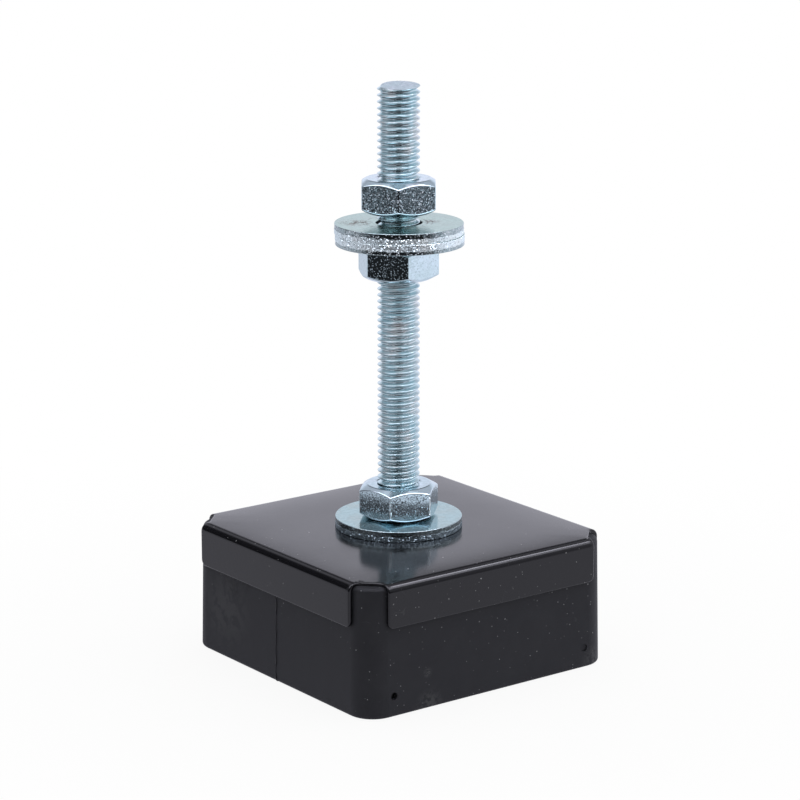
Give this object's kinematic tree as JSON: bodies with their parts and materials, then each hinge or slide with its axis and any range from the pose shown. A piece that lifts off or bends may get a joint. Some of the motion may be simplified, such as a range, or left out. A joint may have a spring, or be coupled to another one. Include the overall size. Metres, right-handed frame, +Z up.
{
  "type": "rubber levelling mount",
  "caption": "Anti-vibration levelling foot: rubber block under a folded steel cap, with a threaded stud, levelling nut, wide washers and lock nut for a machine's foot.",
  "frame": {"origin": "middle of the rubber block's underside, on the stud's axis", "axes": "+Z up along the stud, X and Y along the sides of the square base"},
  "size_m": [0.0724, 0.0724, 0.1361],
  "materials": {
    "rubber": "matte moulded",
    "black_coating": "satin black coating on folded steel",
    "zinc": "bright bluish zinc plating on steel"
  },
  "bodies": {
    "rubber": {"rubber_block": "rubber"},
    "frame": {"cap_plate": "black_coating", "threaded_stud": "zinc", "inner_nut": "zinc", "base_washer": "zinc", "base_nut": "zinc"},
    "load_washers": {"lower_washer": "zinc", "upper_washer": "zinc"},
    "level_nut": {"levelling_nut": "zinc"},
    "locking_nut": {"lock_nut": "zinc"}
  },
  "joints": [
    {"name": "rubber_compression", "type": "slide", "parent": "rubber", "child": "frame", "axis": [0, 0, 1], "range_m": [-0.003, 0], "stiffness_N_per_m": 300000, "deforming": ["rubber_block"]},
    {"name": "level_travel", "type": "slide", "parent": "frame", "child": "load_washers", "axis": [0, 0, 1], "range_m": [-0.0489, 0]},
    {"name": "levelling_nut_turn", "type": "hinge", "parent": "load_washers", "child": "level_nut", "pos_m": [0, 0, 0.09515], "axis": [0, 0, 1], "range_deg": [-11746, 0]},
    {"name": "lock_nut_travel", "type": "slide", "parent": "frame", "child": "locking_nut", "axis": [0, 0, 1], "range_m": [-0.0024, 0.0211]}
  ],
  "couplings": [
    {"joint": "levelling_nut_turn", "follows": "level_travel", "rad_per_m": 4188.8}
  ]
}
